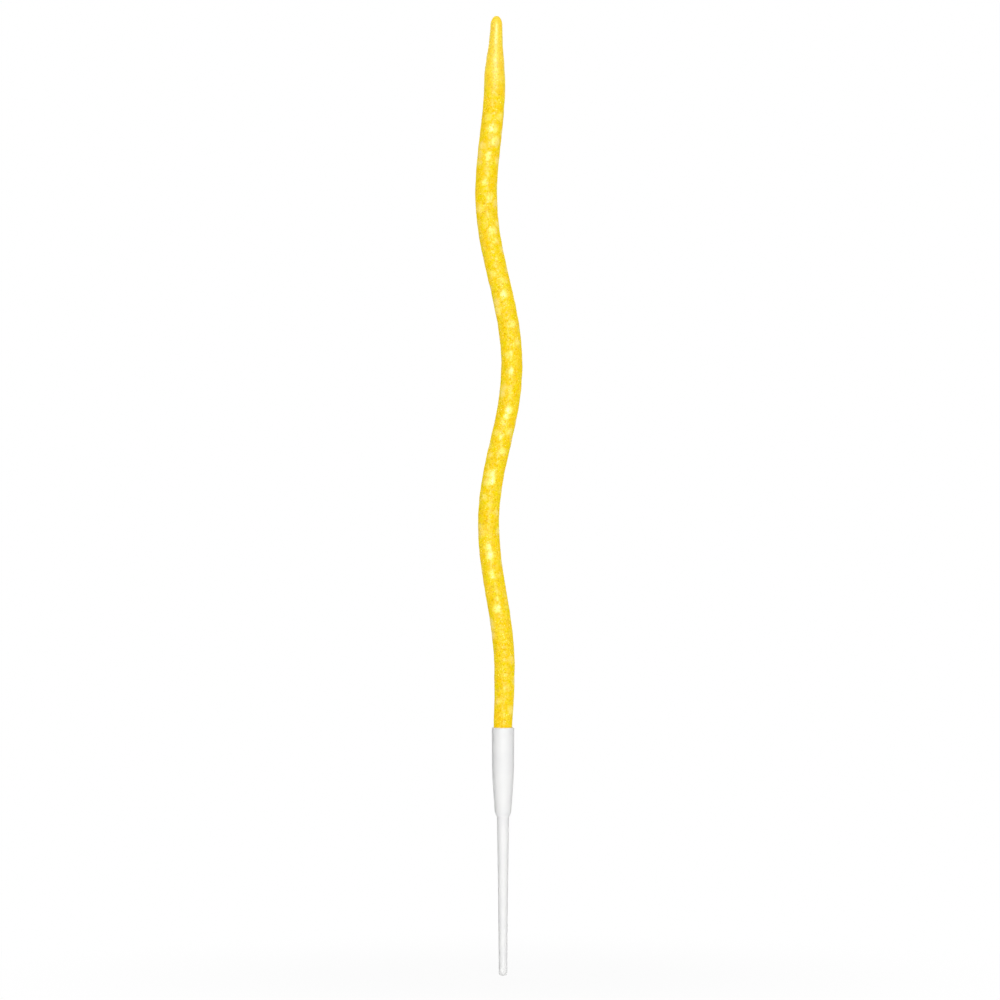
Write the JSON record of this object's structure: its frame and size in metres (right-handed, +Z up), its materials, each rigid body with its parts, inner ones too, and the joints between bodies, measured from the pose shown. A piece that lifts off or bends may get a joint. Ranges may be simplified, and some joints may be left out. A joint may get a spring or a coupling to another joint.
{
  "type": "wavy birthday candle",
  "caption": "Tall thin wavy birthday candle with a sparkling coat, push-fitted in a white holder whose spike goes into a cake.",
  "frame": {"origin": "on the holder's axis, level with the underside of its cup, where the surface of the icing comes", "axes": "+Z up along the candle from spike to tip; the wave lies in the XZ plane; -Y is the pictured front"},
  "size_m": [0.0093, 0.0044, 0.19],
  "materials": {
    "holder_plastic": "glossy moulded white",
    "wax": "satin yellow wax",
    "glitter_coat": "golden yellow lacquer full of fine glitter",
    "wick_cotton": "braided waxed cotton"
  },
  "bodies": {
    "holder_body": {"holder": "holder_plastic"},
    "candle_body": {"wax_core": "wax", "glitter_coat": "glitter_coat", "wick": "wick_cotton"}
  },
  "joints": [
    {"name": "candle_pull", "type": "slide", "parent": "holder_body", "child": "candle_body", "axis": [0, 0, 1], "range_m": [0, 0.009]}
  ]
}
